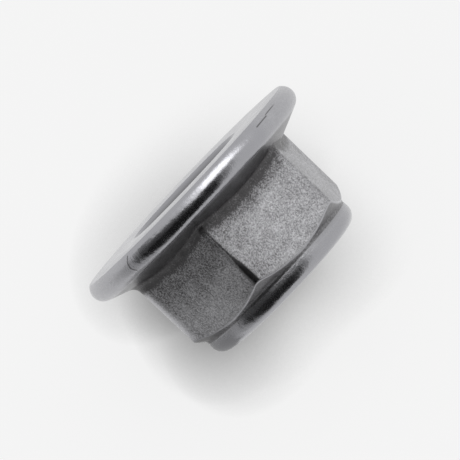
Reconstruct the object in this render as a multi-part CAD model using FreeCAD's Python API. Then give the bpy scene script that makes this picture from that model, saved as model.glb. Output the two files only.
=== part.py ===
import FreeCAD, Part
import math
import os

# Hexagon nut with flange, M10, of the prevailing torque type: a steel body whose collar is
# rolled in over a nylon locking ring. All lengths are in millimetres.
# +Z runs along the thread, from the bearing face to the collar. The origin is the centre of the
# bearing face, and two flats of the hexagon face +X and -X.

# Thread, which the body carries at its minor diameter
THREAD_DIAMETER = 10.0
THREAD_PITCH = 1.5
ENTRY_OVERSIZE = 0.8
ENTRY_ANGLE = 45.0
EXIT_OVERSIZE = 0.1
EXIT_ANGLE = 30.0

# Hexagon, with forged round corners and a chamfered end
ACROSS_FLATS = 15.0
CORNER_ROUND = 0.8
CORNER_HEIGHT = 8.49
CHAMFER_ANGLE = 38.0

# Flange: its reach past the corners of the hexagon makes it 21.6 across
FLANGE_REACH = 2.2635
RIM_HEIGHT = 1.04
RIM_FACE_TILT = 20.0
RIM_CONE_ROUND = 0.98
CONE_ANGLE = 22.0

# Nylon locking ring, which grips the bolt's thread
RING_GRIP = 0.9
RING_WALL = 1.75
RING_HEIGHT = 2.3
RING_CROWN = 0.2

# Collar, rolled in over the ring
COLLAR_WALL = 1.1
COLLAR_STRAIGHT = 0.472
COLLAR_EDGE_ROUND = 1.0
NECK_WIDTH = 0.1
NECK_RISE = 0.2
LIP_THICKNESS = 0.75
LIP_OVERLAP = 0.62
LIP_CHAMFER = 0.25

# Ratio of the minor diameter's depth to the pitch on a metric thread
MINOR_DEPTH_RATIO = 1.0825

HEX_SIDES = 6
HALF_CORNER = math.radians(180 / HEX_SIDES)
TOLERANCE = 0.001
Z_AXIS = FreeCAD.Vector(0, 0, 1)
ORIGIN = FreeCAD.Vector(0, 0, 0)


def tangent(degrees):
    return math.tan(math.radians(degrees))


# Radii, from the thread outwards
MINOR_RADIUS = (THREAD_DIAMETER - MINOR_DEPTH_RATIO * THREAD_PITCH) / 2
ENTRY_RADIUS = (THREAD_DIAMETER + ENTRY_OVERSIZE) / 2
EXIT_RADIUS = (THREAD_DIAMETER + EXIT_OVERSIZE) / 2
RING_BORE_RADIUS = (THREAD_DIAMETER - RING_GRIP) / 2
RING_RADIUS = RING_BORE_RADIUS + RING_WALL
LIP_RADIUS = RING_RADIUS - LIP_OVERLAP
COLLAR_RADIUS = RING_RADIUS + COLLAR_WALL
FLAT_RADIUS = ACROSS_FLATS / 2
SHARP_RADIUS = FLAT_RADIUS / math.cos(HALF_CORNER)
CORNER_RADIUS = SHARP_RADIUS - CORNER_ROUND * (1 / math.cos(HALF_CORNER) - 1)
FLANGE_RADIUS = CORNER_RADIUS + FLANGE_REACH

# Heights, from the bearing face up
CHAMFER_TOP = CORNER_HEIGHT + (CORNER_RADIUS - COLLAR_RADIUS) * tangent(CHAMFER_ANGLE)
NECK_TOP = CHAMFER_TOP + NECK_RISE
EDGE_ROUND = min(COLLAR_EDGE_ROUND, COLLAR_WALL + LIP_OVERLAP - LIP_CHAMFER)
TOTAL_HEIGHT = NECK_TOP + COLLAR_STRAIGHT + EDGE_ROUND
RING_TOP = TOTAL_HEIGHT - LIP_THICKNESS
RING_SEAT = RING_TOP - RING_HEIGHT
ENTRY_DEPTH = (ENTRY_RADIUS - MINOR_RADIUS) * tangent(ENTRY_ANGLE)
EXIT_DEPTH = (EXIT_RADIUS - MINOR_RADIUS) * tangent(EXIT_ANGLE)


def at(radius, height):
    """A point of a turned profile, in the plane of X and Z."""
    return FreeCAD.Vector(radius, 0, height)


def around(centre, radius, degrees):
    """The point of a profile's arc at an angle from the outward direction."""
    angle = math.radians(degrees)
    return centre + at(radius * math.cos(angle), radius * math.sin(angle))


def arc(centre, radius, start, end):
    """The edge of a profile that rounds a centre between two angles."""
    points = [around(centre, radius, angle) for angle in (start, (start + end) / 2, end)]
    return Part.Arc(*points).toShape()


def turned(*parts):
    """The solid of revolution of points and arcs, joined in order by straight edges."""
    edges = []
    ends = []
    for part in parts:
        is_arc = isinstance(part, Part.Shape)
        first = part.valueAt(part.FirstParameter) if is_arc else part
        last = part.valueAt(part.LastParameter) if is_arc else part
        if ends and not ends[-1].isEqual(first, TOLERANCE):
            edges.append(Part.makeLine(ends[-1], first))
        if is_arc:
            edges.append(part)
        ends += [first, last]
    edges.append(Part.makeLine(ends[-1], ends[0]))
    return Part.Face(Part.Wire(edges)).revolve(ORIGIN, Z_AXIS, 360)


def flange():
    """Flat bearing face, full round rim and a cone, whose peak lies in the bore's space."""
    face_round = RIM_HEIGHT / math.cos(math.radians(RIM_FACE_TILT))
    face_centre = at(FLANGE_RADIUS - face_round, RIM_HEIGHT)
    cone_centre = at(FLANGE_RADIUS - RIM_CONE_ROUND, RIM_HEIGHT)
    cone_start = around(cone_centre, RIM_CONE_ROUND, 90 - CONE_ANGLE)
    return turned(
        ORIGIN,
        arc(face_centre, face_round, RIM_FACE_TILT - 90, 0),
        arc(cone_centre, RIM_CONE_ROUND, 0, 90 - CONE_ANGLE),
        at(0, cone_start.z + cone_start.x * tangent(CONE_ANGLE)),
    )


def chamfer_height(radius):
    return CHAMFER_TOP - (radius - COLLAR_RADIUS) * tangent(CHAMFER_ANGLE)


def end_form():
    """Turned form of the nut's upper end: chamfer, neck, collar and the collar's rolled edge."""
    neck_radius = COLLAR_RADIUS + NECK_WIDTH
    edge_centre = at(COLLAR_RADIUS - EDGE_ROUND, TOTAL_HEIGHT - EDGE_ROUND)
    return turned(
        ORIGIN,
        at(FLANGE_RADIUS, 0),
        at(FLANGE_RADIUS, chamfer_height(FLANGE_RADIUS)),
        at(neck_radius, chamfer_height(neck_radius)),
        at(COLLAR_RADIUS, NECK_TOP),
        arc(edge_centre, EDGE_ROUND, 0, 90),
        at(0, TOTAL_HEIGHT),
    )


def hexagon():
    """Hexagonal prism with rounded corners and flats that face +X and -X."""
    turns = [HALF_CORNER * (1 + 2 * side) for side in range(HEX_SIDES)]
    corners = [
        FreeCAD.Vector(SHARP_RADIUS * math.cos(turn), SHARP_RADIUS * math.sin(turn), 0)
        for turn in turns
    ]
    outline = Part.Face(Part.makePolygon(corners + corners[:1]))
    prism = outline.extrude(Z_AXIS * TOTAL_HEIGHT)
    upright = [edge for edge in prism.Edges if edge.BoundBox.ZLength > TOLERANCE]
    return prism.makeFillet(CORNER_ROUND, upright)


def collar_core():
    """Round core that carries the collar where it is as wide as the flats or wider."""
    return Part.makeCylinder(COLLAR_RADIUS, TOTAL_HEIGHT - CORNER_HEIGHT, at(0, CORNER_HEIGHT))


def inside():
    """Space in the body: entry countersink, thread, thread exit, ring seat and lip opening."""
    return turned(
        ORIGIN,
        at(ENTRY_RADIUS, 0),
        at(MINOR_RADIUS, ENTRY_DEPTH),
        at(MINOR_RADIUS, RING_SEAT - EXIT_DEPTH),
        at(EXIT_RADIUS, RING_SEAT),
        at(RING_RADIUS, RING_SEAT),
        at(RING_RADIUS, RING_TOP),
        at(LIP_RADIUS, RING_TOP),
        at(LIP_RADIUS, TOTAL_HEIGHT - LIP_CHAMFER),
        at(LIP_RADIUS + LIP_CHAMFER, TOTAL_HEIGHT),
        at(0, TOTAL_HEIGHT),
    )


def nut_body():
    """Forged steel body: flange, hexagon and rolled collar in one piece."""
    upper = hexagon().fuse(collar_core()).common(end_form())
    return upper.fuse(flange()).removeSplitter().cut(inside())


def nylon_ring():
    """Ring that fills its seat, its inner edge pressed up a little inside the lip."""
    return turned(
        at(RING_BORE_RADIUS, RING_SEAT),
        at(RING_RADIUS, RING_SEAT),
        at(RING_RADIUS, RING_TOP),
        at(LIP_RADIUS, RING_TOP),
        at(RING_BORE_RADIUS, RING_TOP + RING_CROWN),
    )


def main():
    os.makedirs("parts", exist_ok=True)
    for name, shape in (("nut_body", nut_body()), ("nylon_ring", nylon_ring())):
        solid = shape.Solids[0]
        print(name, len(shape.Solids), solid.isValid(), round(solid.Volume, 3), len(solid.Faces))
        solid.exportStep("parts/" + name + ".step")


main()
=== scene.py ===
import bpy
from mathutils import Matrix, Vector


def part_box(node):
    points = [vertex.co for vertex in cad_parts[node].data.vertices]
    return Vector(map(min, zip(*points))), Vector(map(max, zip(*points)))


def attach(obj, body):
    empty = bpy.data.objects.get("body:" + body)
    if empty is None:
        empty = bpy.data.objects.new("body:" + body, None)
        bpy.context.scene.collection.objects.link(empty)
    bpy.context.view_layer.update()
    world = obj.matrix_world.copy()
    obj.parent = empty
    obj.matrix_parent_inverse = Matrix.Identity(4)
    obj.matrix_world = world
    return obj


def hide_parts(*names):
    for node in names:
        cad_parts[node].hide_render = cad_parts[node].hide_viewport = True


bl_info = {
    "name": "Flange lock nut",
    "version": (1, 0, 0),
    "blender": (4, 5, 0),
    "location": "3D View > Sidebar > Flange nut",
    "description": "Dresses a packed hexagon flange lock nut and sets its studio",
    "category": "Mesh",
}

import math

import bmesh
import bpy
from bpy.props import FloatProperty, FloatVectorProperty, IntProperty, PointerProperty
from mathutils import Matrix, Vector, noise

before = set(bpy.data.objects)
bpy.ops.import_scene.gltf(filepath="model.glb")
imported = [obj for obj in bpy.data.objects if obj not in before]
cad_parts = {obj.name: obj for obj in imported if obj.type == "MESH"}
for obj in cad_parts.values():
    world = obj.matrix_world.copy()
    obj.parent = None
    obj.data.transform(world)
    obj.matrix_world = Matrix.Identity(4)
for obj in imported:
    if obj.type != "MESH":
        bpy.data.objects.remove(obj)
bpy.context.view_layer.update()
BODY_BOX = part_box("nut_body")
RING_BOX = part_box("nylon_ring")

# Shapes are modelled in millimetres and brought to metres once, when a piece is finished.
MM = 0.001
SIDES = 6
SIDE_TURN = math.tau / SIDES
Z_AXIS = Vector((0, 0, 1))
# Share of each flat's height that the painted shade from the corner at the flange climbs, starting
# with the flat that faces +X
SIDE_SHADE_CLIMB = (0.4, 0.05, 0.24, 0.74, 0.5, 0.3)
# How dark the painted reflection along each corner is, how strong the corner's painted highlight is,
# and by what factor the forging left it rounder than the sizes say, starting with the corner after
# that flat
CORNER_LINES = (0.3, 0.15, 1.0, 0.0, 0.5, 0.1)
CORNER_HIGHLIGHTS = (0.3, 0.0, 0.0, 1.0, 0.3, 0.2)
CORNER_SHARES = (1.5, 1.2, 1.0, 2.0, 1.2, 1.0)
# Direction round which the rim is worn smooth, how far to each side, and how gradually the
# forging scale begins beyond that, with its strength
WORN_SIDE = Vector((math.cos(math.radians(140)), math.sin(math.radians(140)), 0))
WORN_REACH = math.radians(34)
WORN_FADE = math.radians(16)
RIM_SCALE = 0.32
# Sizes in millimetres of the patterns: grain, dents and clouds on the steel, haze in the nylon
GRAIN_SIZE = 2 / 15
DENT_SIZE = 5 / 12
CLOUD_SIZE = 10 / 9
HAZE_SIZE = 5 / 8
# Depth of a metric thread as a share of its pitch, and the slope of its flanks
THREAD_DEPTH = 0.5413
FLANK_RISE = math.tan(math.radians(30))
# Edges that bend by more than this stay sharp in the shading.
SHARP_EDGE = math.radians(38)
# Scratches and nicks, each a line between two places in millimetres with its width
MARKS = (
    ((-10.55, 0.22, 0.3), (-10.76, -0.1, 0.7), 0.09),
    ((-10.76, -0.1, 0.7), (-10.79, -0.2, 1.1), 0.09),
    ((-10.79, -0.2, 1.1), (-10.65, -0.05, 1.5), 0.09),
    ((-7.5, 0.51, 3.9), (-7.5, 0.5, 7.1), 0.07),
    ((-0.56, 10.73, 0.6), (-1.3, 10.67, 0.6), 0.08),
    ((-1.3, 10.67, 0.6), (-2.04, 10.55, 0.62), 0.08),
    ((1.2, 10.66, 0.48), (-0.5, 10.7, 0.5), 0.07),
)

# Studio, in metres. The camera goes round a place on the nut's axis at this height, and aims a
# little to the left of it and above it.
MIDDLE_HEIGHT = 0.005945
AIM_LEFT = 0.000785
AIM_UP = 0.000680
# The paper's normal is turned from the camera towards the flange by this, because the nut lies on
# its flange and its collar. The gap keeps the nut out of the paper.
TABLE_TILT = math.radians(20.609)
PAPER_GAP = 2e-5
# The paper fades out into the backdrop between two distances from its middle.
PAPER_RADIUS = 0.09
FADE_START = 0.04
FADE_END = 0.085
# How far from the nut its soft shade reaches, how dark it gets, and the share of the paper's
# tone that comes from the lamps
SHADE_REACH = 0.0065
SHADE_POWER = 1.9
LAMP_SHARE = 0.12
# Even light from all round the nut
FILL_LEVEL = 0.6
# Place that the lamps face, and the direction of their upper edges
LAMP_TARGET = Vector((0, 0, 0.0055))
LAMP_TOP = Vector((0.1, 0.2, 1))
# The studio as the polished metal mirrors it: each card's name, its turns to the left and right of
# the camera and its heights in degrees, its distance and its tone
CARDS = (
    ("dark_card", -74, 26, 5, 71, 0.2, 0.015),
    ("dusk_card", -74, 26, -9, 5, 0.2, 0.08),
    ("dusk_card_low", -74, -4, -19, -9, 0.2, 0.1),
    ("grey_card_right", 26, 38, -9, 74, 0.2, 0.4),
    ("grey_card_low", -76, -22, -28, -19, 0.2, 0.2),
    ("grey_card_lower", -80, -54, -44, -26, 0.2, 0.25),
    ("grey_card_left", -104, -74, -20, 74, 0.2, 0.6),
    ("grey_card_close", -130, -68, 34, 62, 0.016, 0.4),
    ("white_card", -8, 56, -62, -12, 0.2, 1.6),
    ("white_card_middle", 8, 50, -54, -17, 0.19, 3.2),
)


def linear(code):
    """Linear colour of an sRGB hex code."""
    shades = [int(code[i : i + 2], 16) / 255 for i in (0, 2, 4)]
    return [s / 12.92 if s <= 0.04045 else ((s + 0.055) / 1.055) ** 2.4 for s in shades]


class NutSizes(bpy.types.PropertyGroup):
    """Sizes of the steel body and of its ring."""

    flange_radius: FloatProperty(
        name="Flange radius",
        description="Reach of the flange's rim from the axis",
        default=BODY_BOX[1].x,
        unit="LENGTH",
        precision=5,
    )
    height: FloatProperty(
        name="Height",
        description="From the bearing face to the top of the collar",
        default=BODY_BOX[1].z,
        unit="LENGTH",
        precision=5,
    )
    across_flats: FloatProperty(
        name="Across flats",
        description="Width of the hexagon from flat to flat",
        default=0.015,
        unit="LENGTH",
        precision=5,
    )
    corner_round: FloatProperty(
        name="Corner round",
        description="Radius of the hexagon's upright corners at the chamfer",
        default=0.0008,
        unit="LENGTH",
        precision=5,
    )
    foot_corner_round: FloatProperty(
        name="Corner round at the foot",
        description="Radius of the hexagon's upright corners at the flange",
        default=0.00065,
        unit="LENGTH",
        precision=5,
    )
    face_dish: FloatProperty(
        name="Face dish",
        description="Depth to which the bearing face is hollow at the countersink",
        default=0.00011,
        unit="LENGTH",
        precision=5,
    )
    face_roll: FloatProperty(
        name="Face roll",
        description="How much the bearing face rises towards the rim",
        default=0.0001,
        unit="LENGTH",
        precision=5,
    )
    rim_height: FloatProperty(
        name="Rim height",
        description="Height at which the rim reaches furthest out",
        default=0.00098,
        unit="LENGTH",
        precision=5,
    )
    rim_face_tilt: FloatProperty(
        name="Rim face tilt",
        description="Angle at which the rim's round meets the bearing face",
        default=math.radians(20),
        unit="ROTATION",
    )
    rim_cone_round: FloatProperty(
        name="Rim cone round",
        description="Radius of the rim on the side of the cone",
        default=0.00098,
        unit="LENGTH",
        precision=5,
    )
    cone_angle: FloatProperty(
        name="Cone angle",
        description="Slope of the flange's upper side",
        default=math.radians(22),
        unit="ROTATION",
    )
    root_round: FloatProperty(
        name="Root round",
        description="Size of the forged round between the flange and the hexagon",
        default=0.0005,
        unit="LENGTH",
        precision=5,
    )
    chamfer_angle: FloatProperty(
        name="Chamfer angle",
        description="Slope of the chamfer on the hexagon's corners",
        default=math.radians(38),
        unit="ROTATION",
    )
    corner_height: FloatProperty(
        name="Corner height",
        description="Height at which the chamfer cuts the corners",
        default=0.00849,
        unit="LENGTH",
        precision=5,
    )
    collar_radius: FloatProperty(
        name="Collar radius",
        description="Outer radius of the rolled collar",
        default=0.0074,
        unit="LENGTH",
        precision=5,
    )
    neck_round: FloatProperty(
        name="Neck round",
        description="Radius of the hollow between the chamfer and the collar",
        default=0.0003,
        unit="LENGTH",
        precision=5,
    )
    collar_tuck: FloatProperty(
        name="Collar tuck",
        description="How much the collar draws in from its widest place to the hollow under it",
        default=0.00004,
        unit="LENGTH",
        precision=5,
    )
    edge_round: FloatProperty(
        name="Edge round",
        description="Radius of the collar's rolled outer edge",
        default=0.001,
        unit="LENGTH",
        precision=5,
    )
    lip_radius: FloatProperty(
        name="Lip radius",
        description="Radius of the opening that the rolled lip leaves",
        default=0.00568,
        unit="LENGTH",
        precision=5,
    )
    lip_round: FloatProperty(
        name="Lip round",
        description="Radius of the lip's upper inner edge",
        default=0.00025,
        unit="LENGTH",
        precision=5,
    )
    lip_thickness: FloatProperty(
        name="Lip thickness",
        description="Thickness of the lip above the ring",
        default=0.00075,
        unit="LENGTH",
        precision=5,
    )
    thread_diameter: FloatProperty(
        name="Thread diameter",
        description="Nominal diameter of the thread",
        default=0.010,
        unit="LENGTH",
        precision=5,
    )
    thread_pitch: FloatProperty(
        name="Thread pitch",
        description="Rise of the thread in one turn",
        default=0.0015,
        unit="LENGTH",
        precision=5,
    )
    entry_radius: FloatProperty(
        name="Entry radius",
        description="Radius of the countersink in the bearing face",
        default=0.00552,
        unit="LENGTH",
        precision=5,
    )
    exit_radius: FloatProperty(
        name="Exit radius",
        description="Radius at which the thread runs out under the ring",
        default=0.00505,
        unit="LENGTH",
        precision=5,
    )
    ring_bore_radius: FloatProperty(
        name="Ring bore radius",
        description="Radius of the hole in the nylon ring",
        default=0.00455,
        unit="LENGTH",
        precision=5,
    )
    flat_columns: IntProperty(
        name="Columns per flat",
        description="Mesh columns across each flat of the hexagon",
        default=40,
        min=4,
    )
    corner_columns: IntProperty(
        name="Columns per corner",
        description="Mesh columns round each corner of the hexagon",
        default=12,
        min=2,
    )


class NutFinish(bpy.types.PropertyGroup):
    """Colours of the nut's materials."""

    turned: FloatVectorProperty(
        name="Turned steel",
        description="Colour of the plating on the smooth rim and collar",
        subtype="COLOR",
        default=linear("A3A3A7"),
    )
    forged: FloatVectorProperty(
        name="Forged steel",
        description="Colour of the plating on the rough flats",
        subtype="COLOR",
        default=linear("D0D0D3"),
    )
    # Colour of the grain's pits, used also for the painted shade
    pits_and_shade: FloatVectorProperty(
        name="Pits",
        description="Colour in the pits of the forged grain and in the corner at the flange",
        subtype="COLOR",
        default=linear("565556"),
    )
    nylon: FloatVectorProperty(
        name="Nylon",
        description="Colour of the natural nylon ring",
        subtype="COLOR",
        default=linear("E4E0D2"),
    )


class NutStudio(bpy.types.PropertyGroup):
    """Place of the camera and the tone of the studio."""

    azimuth: FloatProperty(
        name="Azimuth",
        description="Turn of the camera about the nut's axis, none where it looks along +Y",
        default=math.radians(229.97),
        unit="ROTATION",
    )
    elevation: FloatProperty(
        name="Elevation",
        description="Rise of the camera above the bearing face",
        default=math.radians(-3.67),
        unit="ROTATION",
    )
    roll: FloatProperty(
        name="Roll",
        description="Turn of the nut's axis in the picture",
        default=math.radians(46.4),
        unit="ROTATION",
    )
    distance: FloatProperty(
        name="Distance",
        description="From the middle of the nut to the camera",
        default=0.2927,
        unit="LENGTH",
    )
    lens: FloatProperty(
        name="Lens",
        description="Focal length in millimetres on a sensor 36 mm wide",
        default=304.1,
    )
    paper: FloatVectorProperty(
        name="Paper",
        description="Colour of the white paper that the nut lies on",
        subtype="COLOR",
        default=linear("F5F5F5"),
    )


def add_node(tree, kind, inputs=None, **settings):
    """Adds a node with its settings, and gives each input a value or a link."""
    node = tree.nodes.new(kind)
    for name, value in settings.items():
        setattr(node, name, value)
    for name, value in (inputs or {}).items():
        if isinstance(value, bpy.types.NodeSocket):
            tree.links.new(value, node.inputs[name])
        else:
            node.inputs[name].default_value = value
    return node


def new_material(name):
    """An empty material and its node tree."""
    material = bpy.data.materials.new(name)
    material.use_nodes = True
    material.node_tree.nodes.clear()
    return material, material.node_tree


def mark(tree, place, start, end, width):
    """Share of a mark at a place: most on the line from start to end, none at its width from it."""
    run = Vector(end) - Vector(start)
    offset = add_node(
        tree, "ShaderNodeVectorMath", {0: place, 1: start}, operation="SUBTRACT"
    ).outputs["Vector"]
    along = add_node(
        tree,
        "ShaderNodeVectorMath",
        {0: offset, 1: run / run.length_squared},
        operation="DOT_PRODUCT",
    ).outputs["Value"]
    along = add_node(tree, "ShaderNodeClamp", {"Value": along}).outputs["Result"]
    nearest = add_node(
        tree, "ShaderNodeVectorMath", {0: run, "Scale": along}, operation="SCALE"
    ).outputs["Vector"]
    gap = add_node(
        tree, "ShaderNodeVectorMath", {0: offset, 1: nearest}, operation="DISTANCE"
    ).outputs["Value"]
    return add_node(
        tree,
        "ShaderNodeMapRange",
        {"Value": gap, "From Min": 0.3 * width, "From Max": width, "To Min": 0.85, "To Max": 0.0},
    ).outputs["Result"]


def plated_steel(finish):
    """Zinc plated forged steel: satin grey, sandy on the flats, smooth where it was turned."""
    material, tree = new_material("zinc_plated_forged_steel")
    place = add_node(tree, "ShaderNodeTexCoord")
    in_mm = add_node(
        tree, "ShaderNodeMapping", {"Vector": place.outputs["Object"], "Scale": (1000, 1000, 1000)}
    ).outputs["Vector"]
    forged = add_node(
        tree, "ShaderNodeAttribute", attribute_name="forged", attribute_type="GEOMETRY"
    ).outputs["Fac"]
    foot = add_node(
        tree, "ShaderNodeAttribute", attribute_name="foot", attribute_type="GEOMETRY"
    ).outputs["Fac"]
    # The grain looks like fine sand, the forging scale under the plating. The real grain is finer
    # still, and is drawn as coarse as it takes to show.
    grain = add_node(
        tree,
        "ShaderNodeTexNoise",
        {
            "Vector": in_mm,
            "Scale": 1 / GRAIN_SIZE,
            "Detail": 3.0,
            "Roughness": 0.8,
            "Distortion": 0.4,
        },
    ).outputs["Fac"]
    # Clouds make the plating darker and duller here and there.
    cloud = add_node(
        tree,
        "ShaderNodeTexNoise",
        {"Vector": in_mm, "Scale": 1 / CLOUD_SIZE, "Detail": 4.0, "Roughness": 0.6},
    ).outputs["Fac"]
    pits_and_shade = add_node(
        tree,
        "ShaderNodeMapRange",
        {"Value": grain, "From Min": 0.38, "From Max": 0.62, "To Min": 0.6, "To Max": 0.0},
    ).outputs["Result"]
    clouded = add_node(
        tree,
        "ShaderNodeMapRange",
        {"Value": cloud, "From Min": 0.35, "From Max": 0.65, "To Min": 0.2, "To Max": 0.0},
    ).outputs["Result"]
    pits_and_shade = add_node(
        tree, "ShaderNodeMath", {0: pits_and_shade, 1: clouded}, operation="ADD"
    ).outputs["Value"]
    pits_and_shade = add_node(
        tree, "ShaderNodeMath", {0: pits_and_shade, 1: forged}, operation="MULTIPLY"
    ).outputs["Value"]
    # The foot attribute adds painted shade in the corner between the hexagon and the flange and up
    # the flats, on the cone, the chamfer, the hollow, the collar and in the bore, with a painted dark
    # reflection along some corners.
    pits_and_shade = add_node(
        tree,
        "ShaderNodeMath",
        {0: foot, 1: 0.66, 2: pits_and_shade},
        operation="MULTIPLY_ADD",
        use_clamp=True,
    ).outputs["Value"]
    # Scratches and nicks show as thin dark lines.
    for start, end, width in MARKS:
        scratch = mark(tree, in_mm, start, end, width)
        pits_and_shade = add_node(
            tree, "ShaderNodeMath", {0: pits_and_shade, 1: scratch}, operation="MAXIMUM"
        ).outputs["Value"]
    plating = add_node(
        tree,
        "ShaderNodeMix",
        {"Factor": forged, 6: (*finish.turned, 1), 7: (*finish.forged, 1)},
        data_type="RGBA",
    ).outputs[2]
    colour = add_node(
        tree, "ShaderNodeMix", {"Factor": pits_and_shade, 6: plating, 7: (*finish.pits_and_shade, 1)}, data_type="RGBA"
    ).outputs[2]
    rough_cloud = add_node(
        tree,
        "ShaderNodeMapRange",
        {"Value": cloud, "From Min": 0.3, "From Max": 0.7, "To Min": 0.19, "To Max": 0.28},
    ).outputs["Result"]
    roughness = add_node(
        tree, "ShaderNodeMath", {0: forged, 1: 0.22, 2: rough_cloud}, operation="MULTIPLY_ADD"
    ).outputs["Value"]
    # The dull scale on forged steel scatters a little light as well as mirroring it.
    metallic = add_node(
        tree,
        "ShaderNodeMapRange",
        {"Value": forged, "From Min": 0.2, "To Min": 1.0, "To Max": 0.93},
    ).outputs["Result"]
    grain_depth = add_node(
        tree, "ShaderNodeMapRange", {"Value": forged, "To Min": 0.08, "To Max": 1.0}
    ).outputs["Result"]
    # Shallow dents make the edges of reflections ragged.
    dents = add_node(
        tree,
        "ShaderNodeTexNoise",
        {"Vector": in_mm, "Scale": 1 / DENT_SIZE, "Detail": 2.0, "Roughness": 0.55},
    ).outputs["Fac"]
    dented = add_node(
        tree, "ShaderNodeBump", {"Strength": 0.5, "Distance": 0.00004, "Height": dents}
    ).outputs["Normal"]
    bump = add_node(
        tree,
        "ShaderNodeBump",
        {"Strength": grain_depth, "Distance": 0.00003, "Height": grain, "Normal": dented},
    ).outputs["Normal"]
    shader = add_node(
        tree,
        "ShaderNodeBsdfPrincipled",
        {"Base Color": colour, "Metallic": metallic, "Roughness": roughness, "Normal": bump},
    )
    add_node(tree, "ShaderNodeOutputMaterial", {"Surface": shader.outputs["BSDF"]})
    return material


def natural_nylon(finish):
    """Natural nylon, moulded: off-white, waxy, and it lets a little light in."""
    material, tree = new_material("natural_nylon")
    place = add_node(tree, "ShaderNodeTexCoord")
    in_mm = add_node(
        tree, "ShaderNodeMapping", {"Vector": place.outputs["Object"], "Scale": (1000, 1000, 1000)}
    ).outputs["Vector"]
    # A haze makes the moulded skin a little duller in patches.
    haze = add_node(
        tree, "ShaderNodeTexNoise", {"Vector": in_mm, "Scale": 1 / HAZE_SIZE, "Detail": 4.0}
    ).outputs["Fac"]
    roughness = add_node(
        tree, "ShaderNodeMapRange", {"Value": haze, "To Min": 0.38, "To Max": 0.56}
    ).outputs["Result"]
    bump = add_node(
        tree, "ShaderNodeBump", {"Strength": 0.3, "Distance": 0.00002, "Height": haze}
    ).outputs["Normal"]
    shader = add_node(
        tree,
        "ShaderNodeBsdfPrincipled",
        {
            "Base Color": (*finish.nylon, 1),
            "Roughness": roughness,
            "IOR": 1.53,
            "Subsurface Weight": 0.3,
            "Subsurface Radius": (1.0, 0.9, 0.7),
            "Subsurface Scale": 0.0008,
            "Normal": bump,
        },
    )
    add_node(tree, "ShaderNodeOutputMaterial", {"Surface": shader.outputs["BSDF"]})
    return material


def steps(start, end, count):
    """Evenly spaced values from start to end, both included."""
    return [start + (end - start) * i / (count - 1) for i in range(count)]


def arc_points(centre, radius, start, end, count):
    """Points (radius, height) along a profile's arc, between two angles in degrees."""
    angles = [math.radians(degrees) for degrees in steps(start, end, count)]
    return [(centre[0] + radius * math.cos(a), centre[1] + radius * math.sin(a)) for a in angles]


def between(start, end, share):
    """Point of a profile at a share of the way from start to end."""
    return tuple(a + (b - a) * share for a, b in zip(start, end))


def rounded(start, corner, end, count):
    """Points inside a soft corner, from start to end by way of the corner."""
    inner = []
    for t in steps(0, 1, count + 2)[1:-1]:
        inner.append(between(between(start, corner, t), between(corner, end, t), t))
    return inner


def turned(place, angle):
    """A point of the plan view turned about the axis."""
    x, y = place
    cos = math.cos(angle)
    sin = math.sin(angle)
    return Vector((x * cos - y * sin, x * sin + y * cos))


def smooth(share):
    """Eases a share between 0 and 1."""
    share = min(max(share, 0.0), 1.0)
    return share * share * (3 - 2 * share)


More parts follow.
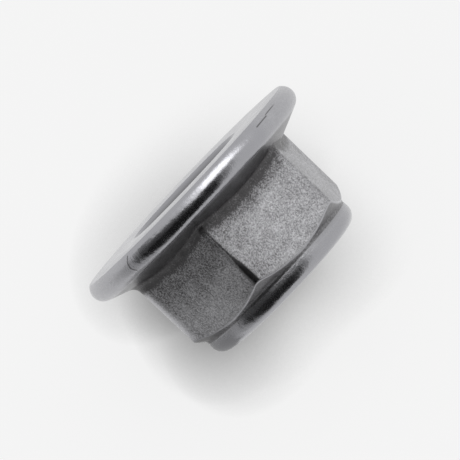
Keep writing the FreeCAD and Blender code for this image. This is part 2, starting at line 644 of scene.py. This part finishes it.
class BodyForm:
    """Outline and profile of the steel body, in millimetres."""

    def __init__(self, sizes):
        for name in sizes.bl_rna.properties.keys():
            value = getattr(sizes, name)
            if isinstance(value, float):
                is_angle = name in ("rim_face_tilt", "cone_angle", "chamfer_angle")
                setattr(self, name, value if is_angle else value / MM)
        self.flat_columns = sizes.flat_columns
        self.corner_columns = sizes.corner_columns
        self.flat_radius = self.across_flats / 2
        sharp = self.flat_radius / math.cos(SIDE_TURN / 2)
        corner_radius = sharp - self.corner_round * (sharp / self.flat_radius - 1)
        chamfer_rise = (corner_radius - self.collar_radius) * math.tan(self.chamfer_angle)
        self.chamfer_top = self.corner_height + chamfer_rise
        face_round = self.rim_height / math.cos(self.rim_face_tilt)
        face_centre = (self.flange_radius - face_round, self.rim_height)
        # The roll-up of the bearing face takes the place of the rim's round below this angle.
        self.face_arc = arc_points(face_centre, face_round, -53, 0, 14)
        cone_centre = (self.flange_radius - self.rim_cone_round, self.rim_height)
        cone_turn = 90 - math.degrees(self.cone_angle)
        self.cone_arc = arc_points(cone_centre, self.rim_cone_round, 0, cone_turn, 15)
        self.cone_start = self.cone_arc[-1]
        # Centre of the hollow that runs from the chamfer up to the collar
        centre_r = self.collar_radius - self.collar_tuck + self.neck_round
        self.neck_touch = centre_r - self.neck_round * math.sin(self.chamfer_angle)
        touch_z = self.chamfer_z(self.neck_touch)
        self.neck_centre = (centre_r, touch_z + self.neck_round * math.cos(self.chamfer_angle))

    def outline(self, corner_round):
        """Mesh columns round the hexagon, each with its place on the plan, its swing round the corner
        and how far the painted shade climbs, how dark the corner's painted reflection is and how
        strong its painted highlight is."""
        columns = []
        half = SIDE_TURN / 2
        for side in range(SIDES):
            radius = corner_round * CORNER_SHARES[side]
            edge = (self.flat_radius - radius) * math.tan(half)
            centre = (self.flat_radius - radius) / math.cos(half)
            shade_climb = SIDE_SHADE_CLIMB[side]
            next_shade_climb = SIDE_SHADE_CLIMB[(side + 1) % SIDES]
            line = CORNER_LINES[side]
            highlight = CORNER_HIGHLIGHTS[side]
            for across in steps(0, edge, self.flat_columns // 2 + 1)[:-1]:
                place = turned((self.flat_radius, across), side * SIDE_TURN)
                columns.append((place, half, shade_climb, line * smooth(across / edge) ** 2, 0.0))
            for swing in steps(-half, half, self.corner_columns + 1):
                place = (centre + radius * math.cos(swing), radius * math.sin(swing))
                mean_shade_climb = shade_climb + (next_shade_climb - shade_climb) * (0.5 + 0.5 * swing / half)
                place = turned(place, side * SIDE_TURN + half)
                columns.append((place, swing, mean_shade_climb, line, highlight))
            for across in steps(-edge, 0, self.flat_columns // 2 + 1)[1:-1]:
                place = turned((self.flat_radius, across), (side + 1) * SIDE_TURN)
                columns.append((place, half, next_shade_climb, line * smooth(-across / edge) ** 2, 0.0))
        return columns

    def chamfer_z(self, radius):
        """Height of the chamfer at a radius."""
        return self.chamfer_top - (radius - self.collar_radius) * math.tan(self.chamfer_angle)

    def cone_z(self, radius):
        """Height of the flange's cone at a radius."""
        return self.cone_start[1] + (self.cone_start[0] - radius) * math.tan(self.cone_angle)

    def end_curve(self, radius):
        """Chamfer and hollow from a radius in to the collar, as closely spaced points."""
        points = []
        if radius > self.neck_touch:
            points += [(r, self.chamfer_z(r)) for r in steps(radius, self.neck_touch, 10)[:-1]]
            start = -90 - math.degrees(self.chamfer_angle)
        else:
            start = -math.degrees(math.acos((radius - self.neck_centre[0]) / self.neck_round))
        return points + arc_points(self.neck_centre, self.neck_round, start, -185, 10)

    def end_rows(self, radius, first, count):
        """Points along the end curve, evenly spaced from a distance past its start."""
        curve = self.end_curve(radius)
        lengths = [0.0]
        for a, b in zip(curve, curve[1:]):
            lengths.append(lengths[-1] + math.dist(a, b))
        rows = []
        for want in steps(first, lengths[-1], count):
            i = max(k for k in range(len(curve) - 1) if lengths[k] <= want or k == 0)
            share = (want - lengths[i]) / (lengths[i + 1] - lengths[i])
            rows.append(between(curve[i], curve[i + 1], share))
        return rows

    def profile(self, foot_place, top_place, swing, shade_climb, line, highlight):
        """One column of the body, from the countersink round to the thread's exit.

        A row is its place on the plan, its height, how forged it is and how much painted shade it
        has."""
        rows = []
        low = foot_place.length
        high = top_place.length
        # Unevenness of the forging round the nut, in long waves and in short ripples
        outward = Vector((*(foot_place / low), 0))
        wave = noise.noise(outward * 9.0 + Vector((0, 0, 0.3)))
        ripple = noise.noise(outward * 34.0 + Vector((0, 0, 4.1)))
        away = math.acos(min(1.0, outward.dot(WORN_SIDE)))
        scale = RIM_SCALE * smooth((away - WORN_REACH + 0.12 * ripple) / WORN_FADE)

        def put(points, forged, painted_shade=0.0, place=foot_place):
            rows.extend((place * (r / place.length), z, forged, painted_shade) for r, z in points)

        # Bearing face: hollow inside and rolled up a little outside, so it bears on its middle
        entry = self.entry_radius + 0.07
        bearing = 0.81 * self.flange_radius - 0.55
        face_edge = self.face_arc[0][0] - 0.08
        put([(entry, self.face_dish)], 0.0)
        for r in steps(entry + 0.05, bearing, 8):
            put([(r, self.face_dish * ((bearing - r) / (bearing - entry)) ** 2)], 0.0)
        for r in steps(bearing, face_edge, 8)[1:]:
            put([(r, self.face_roll * ((r - bearing) / (face_edge - bearing)) ** 2)], 0.0)
        roll_end = (face_edge, self.face_roll)
        put(rounded(roll_end, (face_edge + 0.06, self.face_roll + 0.004), self.face_arc[0], 3), 0.0)
        put(self.face_arc, scale)
        put(self.cone_arc[1:], scale)
        # Cone, and the round at the foot of the hexagon, darkened with painted shade that is deepest
        # in the round
        root = self.root_round * (1.0 + 0.45 * wave)
        run = root * math.cos(self.cone_angle)
        foot = (low + run, self.cone_z(low + run))
        root_z = self.cone_z(low)
        for t in (0.03, 0.12, 0.3, 0.5, 0.75, 0.93, 1.0):
            put([between(self.cone_start, foot, t)], 0.45, 0.8 * smooth(t * 5))
        put(rounded(foot, (low, root_z), (low, root_z + root), 5), 0.7, 1.15)
        # Flat or corner of the hexagon, from the foot to just under the chamfer
        edge = 0.085 * (1.0 + 0.5 * ripple)
        top = self.end_curve(high)[0][1] + 0.02 * wave + 0.012 * ripple
        for t in steps(0, 1, 17):
            z = root_z + root + (top - edge - root_z - root) * t
            # Painted shade that fades up the flat, and deeper painted shade at its very foot
            climbing = 0.72 * (1 - min(1.0, max(0.0, t / shade_climb + 0.15 * wave)) ** 2) - 0.08
            foot_shade = 1.25 * min(1.0, 5 * shade_climb) * max(0.0, 1 - 9 * t) ** 1.2
            # Painted dark reflection to one side of the corner, which flares into a wedge of painted
            # shade under the chamfer
            flare = smooth((t - 0.4) / 0.4)
            off_line = (swing + 0.14) / (0.09 + 0.19 * flare)
            dark_line = min(1.0, 1.7 * line * math.exp(-(off_line**2)))
            painted_shade = max(climbing, foot_shade, dark_line * (1 + 0.5 * flare), 0.28 * math.sqrt(line))
            # Painted highlight along some corners: less forging grain and no painted shade there
            painted_highlight = highlight * smooth(t * 6) * math.exp(-((swing / 0.35) ** 2))
            forged = 1 - 0.85 * dark_line * flare - 0.6 * painted_highlight
            rows.append((foot_place.lerp(top_place, t), z, forged, painted_shade * (1 - painted_highlight)))
        # Bright edge of the chamfer, the chamfer itself and the hollow under the collar, with painted
        # shade on the chamfer and in the hollow
        end = self.end_rows(high, edge, 12)
        put(rounded((high, top - edge), (high, top), end[0], 3), 0.3, 0.0, top_place)
        past = 0.0
        for before, point in zip([end[0]] + end, end):
            past += math.dist(before, point)
            on_chamfer = smooth(3 * max(0.0, math.dist(point, end[-1]) - 0.22))
            painted_shade = smooth(past / 0.12) * (0.8 + 0.2 * on_chamfer)
            put([point], 0.6 - 0.3 * on_chamfer, painted_shade, top_place)
        # Collar, its rolled edge and lip; painted shade fades up the collar from the hollow and lies
        # lightly on the rolled edge
        straight_top = self.height - self.edge_round
        neck_end = end[-1]
        for t in (0.15, 0.35, 0.6, 0.8):
            tuck = (self.collar_radius - neck_end[0]) * (1 - t) ** 2
            z = neck_end[1] + (straight_top - neck_end[1]) * t
            put([(self.collar_radius - tuck, z)], 0.15, 0.3 * (1 - t))
        edge_start = self.collar_radius - self.edge_round
        edge_arc = arc_points((edge_start, straight_top), self.edge_round, 0, 90, 14)
        put(edge_arc[:4], 0.12, 0.1)
        put(edge_arc[4:11], 0.08, 0.06)
        put(edge_arc[11:], 0.6, 0.0)
        lip = self.lip_radius
        tip = lip + self.lip_round
        put([(r, self.height) for r in steps(edge_start, tip, 4)[1:-1]], 0.7)
        put(arc_points((tip, self.height - self.lip_round), self.lip_round, 90, 180, 6), 0.0)
        ring_top = self.height - self.lip_thickness
        seat = RING_BOX[0].z / MM
        wall_r = RING_BOX[1].x / MM
        put([(lip, ring_top + 0.2), (lip, ring_top + 0.03), (lip + 0.03, ring_top)], 0.0)
        put([(wall_r - 0.05, ring_top), (wall_r, ring_top - 0.05)], 0.0)
        put([(wall_r, seat + 0.05), (wall_r - 0.05, seat), (self.exit_radius + 0.07, seat)], 0.0)
        return rows


def finished_object(name, bm, material):
    """Brings a mesh to metres, points its faces outwards and makes it an object."""
    bmesh.ops.recalc_face_normals(bm, faces=bm.faces)
    bmesh.ops.scale(bm, vec=(MM, MM, MM), verts=bm.verts)
    for face in bm.faces:
        face.smooth = True
    for edge in bm.edges:
        edge.smooth = not (edge.is_manifold and edge.calc_face_angle(0) > SHARP_EDGE)
    mesh = bpy.data.meshes.new(name)
    bm.to_mesh(mesh)
    bm.free()
    mesh.materials.append(material)
    piece = bpy.data.objects.new(name, mesh)
    bpy.context.scene.collection.objects.link(piece)
    return piece


def thread_surface(form, bottom, top):
    """Right-hand internal thread from one height to another, opened by the entry and exit cones."""
    pitch = form.thread_pitch
    major = form.thread_diameter / 2
    depth = THREAD_DEPTH * pitch
    minor = major - depth
    flank = depth * FLANK_RISE
    crest = pitch / 4
    root_end = crest + flank + pitch / 8
    quarters = (0.0, 0.25, 0.5, 0.75, 1.0)
    points = [(minor, 0.0)]
    points += [(minor + depth * t, crest + flank * t) for t in quarters]
    points += [(major - depth * t, root_end + flank * t) for t in quarters]
    bm = bmesh.new()
    start = bottom - 1.5 * pitch
    verts = [bm.verts.new((r, 0, start + z)) for r, z in points]
    edges = [bm.edges.new(pair) for pair in zip(verts, verts[1:])]
    turns = math.ceil((top - start) / pitch) + 1
    per_turn = 96
    bmesh.ops.spin(
        bm,
        geom=verts + edges,
        cent=(0, 0, 0),
        axis=(0, 0, 1),
        dvec=(0, 0, pitch / per_turn),
        angle=math.tau * turns,
        steps=per_turn * turns,
    )
    bmesh.ops.remove_doubles(bm, verts=bm.verts, dist=0.004)
    seat = RING_BOX[0].z / MM
    for vert in bm.verts:
        z = vert.co.z
        reach = math.hypot(vert.co.x, vert.co.y)
        entry = form.entry_radius + bottom - z
        leave = form.exit_radius - (seat - z) / FLANK_RISE
        want = min(max(reach, entry, leave), form.entry_radius + 1.0)
        vert.co.x *= want / reach
        vert.co.y *= want / reach
    for height, keep_above in ((bottom, True), (top, False)):
        bmesh.ops.bisect_plane(
            bm,
            geom=bm.verts[:] + bm.edges[:] + bm.faces[:],
            dist=1e-4,
            plane_co=(0, 0, height),
            plane_no=(0, 0, 1),
            clear_inner=keep_above,
            clear_outer=not keep_above,
        )
    mesh = bpy.data.meshes.new("thread")
    bm.to_mesh(mesh)
    bm.free()
    return mesh


def body_mesh(form):
    """Steel body: its profile spun full circle and pressed to the hexagon, with the thread."""
    foot_outline = form.outline(form.foot_corner_round)
    top_outline = form.outline(form.corner_round)
    count = len(top_outline)
    profiles = [form.profile(foot[0], *top) for foot, top in zip(foot_outline, top_outline)]
    bm = bmesh.new()
    row_layer = bm.verts.layers.int.new("row")
    forged_layer = bm.verts.layers.float.new("forged")
    # The foot attribute holds painted shade, and the painted dark reflection along some corners.
    foot_layer = bm.verts.layers.float.new("foot")
    verts = []
    for row, (place, z, _, _) in enumerate(profiles[0]):
        vert = bm.verts.new((place.length, 0, z))
        vert[row_layer] = row
        verts.append(vert)
    edges = [bm.edges.new(pair) for pair in zip(verts, verts[1:])]
    bmesh.ops.spin(
        bm,
        geom=verts + edges,
        cent=(0, 0, 0),
        axis=(0, 0, 1),
        angle=math.tau,
        steps=count,
        use_merge=True,
    )
    for vert in bm.verts:
        column = round(math.atan2(vert.co.y, vert.co.x) / math.tau * count) % count
        place, z, forged, painted_shade = profiles[column][vert[row_layer]]
        vert.co = (*place, z)
        vert[forged_layer] = forged
        vert[foot_layer] = painted_shade
    bm.verts.layers.int.remove(row_layer)
    seat = RING_BOX[0].z / MM
    thread = thread_surface(form, form.face_dish, seat)
    bm.from_mesh(thread)
    bpy.data.meshes.remove(thread)
    # Painted shade darkens the thread, more so deeper into the bore.
    for vert in bm.verts:
        if vert.co.xy.length < form.entry_radius - 0.01 and vert.co.z < seat - 0.01:
            vert[foot_layer] = 0.25 + 0.7 * smooth((vert.co.z - form.face_dish - 0.1) / 0.35)
    # The rims of the profile and of the thread are joined at both ends of the bore.
    for height in (form.face_dish, seat):
        rims = [
            edge
            for edge in bm.edges
            if edge.is_boundary and all(abs(v.co.z - height) < 2e-3 for v in edge.verts)
        ]
        bmesh.ops.triangle_fill(bm, use_beauty=True, edges=rims, normal=(0, 0, 1))
    return bm


class FLANGENUT_OT_body(bpy.types.Operator):
    """Models the forged steel body with its thread, and hides the plain one"""

    bl_idname = "flange_nut.body"
    bl_label = "Steel body"

    def execute(self, context):
        form = BodyForm(context.scene.nut_sizes)
        bm = body_mesh(form)
        open_edges = [edge for edge in bm.edges if not edge.is_manifold]
        if open_edges:
            raise RuntimeError(f"the body has {len(open_edges)} open edges")
        body = finished_object("steel_body", bm, plated_steel(context.scene.nut_finish))
        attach(body, "root")
        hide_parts("nut_body")
        return {"FINISHED"}


class FLANGENUT_OT_ring(bpy.types.Operator):
    """Models the nylon locking ring, and hides the plain one"""

    bl_idname = "flange_nut.ring"
    bl_label = "Nylon ring"

    def execute(self, context):
        sizes = context.scene.nut_sizes
        bore = sizes.ring_bore_radius / MM
        outer = RING_BOX[1].x / MM
        seat = RING_BOX[0].z / MM
        crown = RING_BOX[1].z / MM
        lip = sizes.lip_radius / MM
        under_lip = (sizes.height - sizes.lip_thickness) / MM
        points = [(bore, seat + 0.12), (bore, crown - 0.2)]
        points += rounded((bore, crown - 0.2), (bore, crown + 0.02), (bore + 0.3, crown - 0.03), 5)
        points += [(bore + 0.3, crown - 0.03), (lip - 0.3, under_lip + 0.06), (lip, under_lip)]
        points += [(outer - 0.05, under_lip), (outer, under_lip - 0.05)]
        points += [(outer, seat + 0.05), (outer - 0.05, seat), (bore + 0.12, seat)]
        bm = bmesh.new()
        verts = [bm.verts.new((r, 0, z)) for r, z in points]
        edges = [bm.edges.new(pair) for pair in zip(verts, verts[1:] + verts[:1])]
        bmesh.ops.spin(
            bm,
            geom=verts + edges,
            cent=(0, 0, 0),
            axis=(0, 0, 1),
            angle=math.tau,
            steps=160,
            use_merge=True,
        )
        ring = finished_object("locking_ring", bm, natural_nylon(context.scene.nut_finish))
        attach(ring, "root")
        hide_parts("nylon_ring")
        return {"FINISHED"}


def direction(turn, rise):
    """Direction at a turn about the nut's axis from -Y and at a rise above the bearing face."""
    flat = math.cos(rise)
    return Vector((math.sin(turn) * flat, -math.cos(turn) * flat, math.sin(rise)))


def view_axes(studio):
    """Directions from the nut to the camera, and to the right and the top of the picture."""
    towards = direction(studio.azimuth, studio.elevation)
    top = (-Z_AXIS - towards * (-Z_AXIS).dot(towards)).normalized()
    side = top.cross(towards)
    right = side * math.cos(studio.roll) - top * math.sin(studio.roll)
    up = side * math.sin(studio.roll) + top * math.cos(studio.roll)
    return towards, right, up


def facing(back, up):
    """Rotation whose +Z points back and whose +Y points up as nearly as it can."""
    right = up.cross(back).normalized()
    return Matrix((right, back.cross(right), back)).transposed().to_4x4()


def paper_material(name, colour, lean):
    """White paper seen only from its front, fading out into the backdrop round its edge.

    Part of it is lit by the lamps, and part holds the tight shade that a tent of soft light
    leaves close to the nut. The light leans to the side that lean points to."""
    material, tree = new_material(name)
    place = add_node(tree, "ShaderNodeTexCoord")
    reach = add_node(
        tree, "ShaderNodeVectorMath", {0: place.outputs["Object"]}, operation="LENGTH"
    ).outputs["Value"]
    fade = add_node(
        tree,
        "ShaderNodeMapRange",
        {"Value": reach, "From Min": FADE_START, "From Max": FADE_END},
        interpolation_type="SMOOTHSTEP",
    ).outputs["Result"]
    geometry = add_node(tree, "ShaderNodeNewGeometry")
    hidden = add_node(
        tree, "ShaderNodeMath", {0: fade, 1: geometry.outputs["Backfacing"]}, operation="MAXIMUM"
    ).outputs["Value"]
    leaning = add_node(
        tree, "ShaderNodeVectorMath", {0: geometry.outputs["Normal"], 1: lean}, operation="ADD"
    ).outputs["Vector"]
    leaning = add_node(
        tree, "ShaderNodeVectorMath", {0: leaning}, operation="NORMALIZE"
    ).outputs["Vector"]
    shade = add_node(
        tree,
        "ShaderNodeAmbientOcclusion",
        {"Color": (*colour, 1), "Distance": SHADE_REACH, "Normal": leaning},
        samples=16,
    ).outputs["AO"]
    shade = add_node(
        tree, "ShaderNodeMath", {0: shade, 1: SHADE_POWER}, operation="POWER"
    ).outputs["Value"]
    glow = add_node(
        tree, "ShaderNodeEmission", {"Color": (*colour, 1), "Strength": shade}
    ).outputs["Emission"]
    sheet = add_node(tree, "ShaderNodeBsdfDiffuse", {"Color": (*colour, 1)}).outputs["BSDF"]
    lit = add_node(
        tree, "ShaderNodeMixShader", {"Fac": LAMP_SHARE, 1: glow, 2: sheet}
    ).outputs["Shader"]
    clear = add_node(tree, "ShaderNodeBsdfTransparent").outputs["BSDF"]
    mix = add_node(tree, "ShaderNodeMixShader", {"Fac": hidden, 1: lit, 2: clear})
    add_node(tree, "ShaderNodeOutputMaterial", {"Surface": mix.outputs["Shader"]})
    return material


def add_paper(name, matrix, colour, lean):
    """A round sheet that only the camera sees, so that it takes shadows and gives no light."""
    bm = bmesh.new()
    bmesh.ops.create_circle(bm, cap_ends=True, segments=96, radius=PAPER_RADIUS)
    mesh = bpy.data.meshes.new(name)
    bm.to_mesh(mesh)
    bm.free()
    mesh.materials.append(paper_material(name, colour, lean))
    sheet = bpy.data.objects.new(name, mesh)
    sheet.matrix_world = matrix
    bpy.context.scene.collection.objects.link(sheet)
    sheet.visible_diffuse = False
    sheet.visible_glossy = False
    sheet.visible_transmission = False
    sheet.visible_shadow = False


def add_card(camera_turn, name, left, right, low, high, radius, shade):
    """A curved card that reflections see, between two turns from the camera and two heights."""
    start = math.radians(camera_turn - right)
    bm = bmesh.new()
    rises = [math.radians(rise) for rise in steps(low, high, 13)]
    verts = [bm.verts.new(direction(start, rise) * radius) for rise in rises]
    edges = [bm.edges.new(pair) for pair in zip(verts, verts[1:])]
    bmesh.ops.spin(
        bm,
        geom=verts + edges,
        cent=(0, 0, 0),
        axis=(0, 0, 1),
        angle=math.radians(right - left),
        steps=24,
    )
    mesh = bpy.data.meshes.new(name)
    bm.to_mesh(mesh)
    bm.free()
    material, tree = new_material(name)
    glow = add_node(tree, "ShaderNodeEmission", {"Color": (shade, shade, shade, 1)})
    add_node(tree, "ShaderNodeOutputMaterial", {"Surface": glow.outputs["Emission"]})
    mesh.materials.append(material)
    card = bpy.data.objects.new(name, mesh)
    bpy.context.scene.collection.objects.link(card)
    card.visible_camera = False
    card.visible_diffuse = False
    card.visible_shadow = False


def add_lamp(name, towards, distance, size, power):
    """A square soft lamp that faces the nut."""
    data = bpy.data.lights.new(name, "AREA")
    data.shape = "SQUARE"
    data.size = size
    data.energy = power
    lamp = bpy.data.objects.new(name, data)
    towards = Vector(towards).normalized()
    place = LAMP_TARGET + towards * distance
    lamp.matrix_world = Matrix.Translation(place) @ facing(towards, LAMP_TOP)
    lamp.visible_glossy = False
    bpy.context.scene.collection.objects.link(lamp)


def add_world(paper, level):
    """Pale studio: camera, mirrors and glass see the paper's tone, other rays an even level."""
    world = bpy.data.worlds.new("studio")
    bpy.context.scene.world = world
    world.use_nodes = True
    tree = world.node_tree
    tree.nodes.clear()
    path = add_node(tree, "ShaderNodeLightPath")
    seen = add_node(
        tree,
        "ShaderNodeMath",
        {0: path.outputs["Is Camera Ray"], 1: path.outputs["Is Glossy Ray"]},
        operation="MAXIMUM",
    ).outputs["Value"]
    seen = add_node(
        tree,
        "ShaderNodeMath",
        {0: seen, 1: path.outputs["Is Transmission Ray"]},
        operation="MAXIMUM",
    ).outputs["Value"]
    colour = add_node(
        tree,
        "ShaderNodeMix",
        {"Factor": seen, 6: (level, level, level, 1), 7: (*paper, 1)},
        data_type="RGBA",
    ).outputs[2]
    back = add_node(tree, "ShaderNodeBackground", {"Color": colour}).outputs["Background"]
    add_node(tree, "ShaderNodeOutputWorld", {"Surface": back})


class FLANGENUT_OT_studio(bpy.types.Operator):
    """Sets the camera, the paper under the nut, the lamps, the cards and the world"""

    bl_idname = "flange_nut.studio"
    bl_label = "Studio"

    def execute(self, context):
        studio = context.scene.nut_studio
        towards, right, up = view_axes(studio)
        middle = Vector((0, 0, MIDDLE_HEIGHT))
        data = bpy.data.cameras.new("photo_camera")
        data.sensor_width = 36
        data.sensor_fit = "HORIZONTAL"
        data.lens = studio.lens
        data.clip_start = 0.01
        data.clip_end = 10
        camera = bpy.data.objects.new("photo_camera", data)
        place = middle + towards * studio.distance
        aim = middle - right * AIM_LEFT + up * AIM_UP
        camera.matrix_world = Matrix.Translation(place) @ facing((place - aim).normalized(), up)
        context.scene.collection.objects.link(camera)
        context.scene.camera = camera
        # The nut lies on the edges of its flange and collar, away from the camera.
        tilted = towards * math.cos(TABLE_TILT) - Z_AXIS * math.sin(TABLE_TILT)
        normal = tilted.normalized()
        body = bpy.data.objects["steel_body"]
        depth = min(vert.co.dot(normal) for vert in body.data.vertices) - PAPER_GAP
        table = Matrix.Translation(normal * depth) @ facing(normal, up)
        floor = Matrix.Translation((0, 0, -PAPER_GAP))
        add_paper("table_paper", table, studio.paper, up * 1.2 + right * 0.95)
        add_paper("floor_paper", floor, studio.paper, (0.1, -0.2, 0))
        side = right * math.cos(studio.roll) + up * math.sin(studio.roll)
        key = towards * 0.9 + side * 0.2 - Z_AXIS * 0.35
        add_lamp("key_softbox", key, distance=0.8, size=1.2, power=4.2)
        add_lamp("top_softbox", (0.3, -0.5, 0.9), distance=0.8, size=0.5, power=3.4)
        for card in CARDS:
            add_card(math.degrees(studio.azimuth), *card)
        add_world(studio.paper, FILL_LEVEL)
        context.scene.view_settings.view_transform = "Standard"
        return {"FINISHED"}


class VIEW3D_PT_flange_nut(bpy.types.Panel):
    """Panel with the nut's sizes, colours and steps"""

    bl_label = "Flange nut"
    bl_space_type = "VIEW_3D"
    bl_region_type = "UI"
    bl_category = "Flange nut"

    def draw(self, context):
        column = self.layout.column()
        for operator in OPERATORS:
            column.operator(operator.bl_idname)
        for group in (context.scene.nut_sizes, context.scene.nut_finish, context.scene.nut_studio):
            for name in group.bl_rna.properties.keys():
                if name not in ("rna_type", "name"):
                    column.prop(group, name)


OPERATORS = (FLANGENUT_OT_body, FLANGENUT_OT_ring, FLANGENUT_OT_studio)
CLASSES = (NutSizes, NutFinish, NutStudio, *OPERATORS, VIEW3D_PT_flange_nut)


def register():
    for cls in CLASSES:
        bpy.utils.register_class(cls)
    bpy.types.Scene.nut_sizes = PointerProperty(type=NutSizes)
    bpy.types.Scene.nut_finish = PointerProperty(type=NutFinish)
    bpy.types.Scene.nut_studio = PointerProperty(type=NutStudio)


def unregister():
    del bpy.types.Scene.nut_studio
    del bpy.types.Scene.nut_finish
    del bpy.types.Scene.nut_sizes
    for cls in reversed(CLASSES):
        bpy.utils.unregister_class(cls)


def main():
    register()
    bpy.ops.flange_nut.body()
    bpy.ops.flange_nut.ring()
    bpy.ops.flange_nut.studio()


if __name__ == "__main__":
    main()
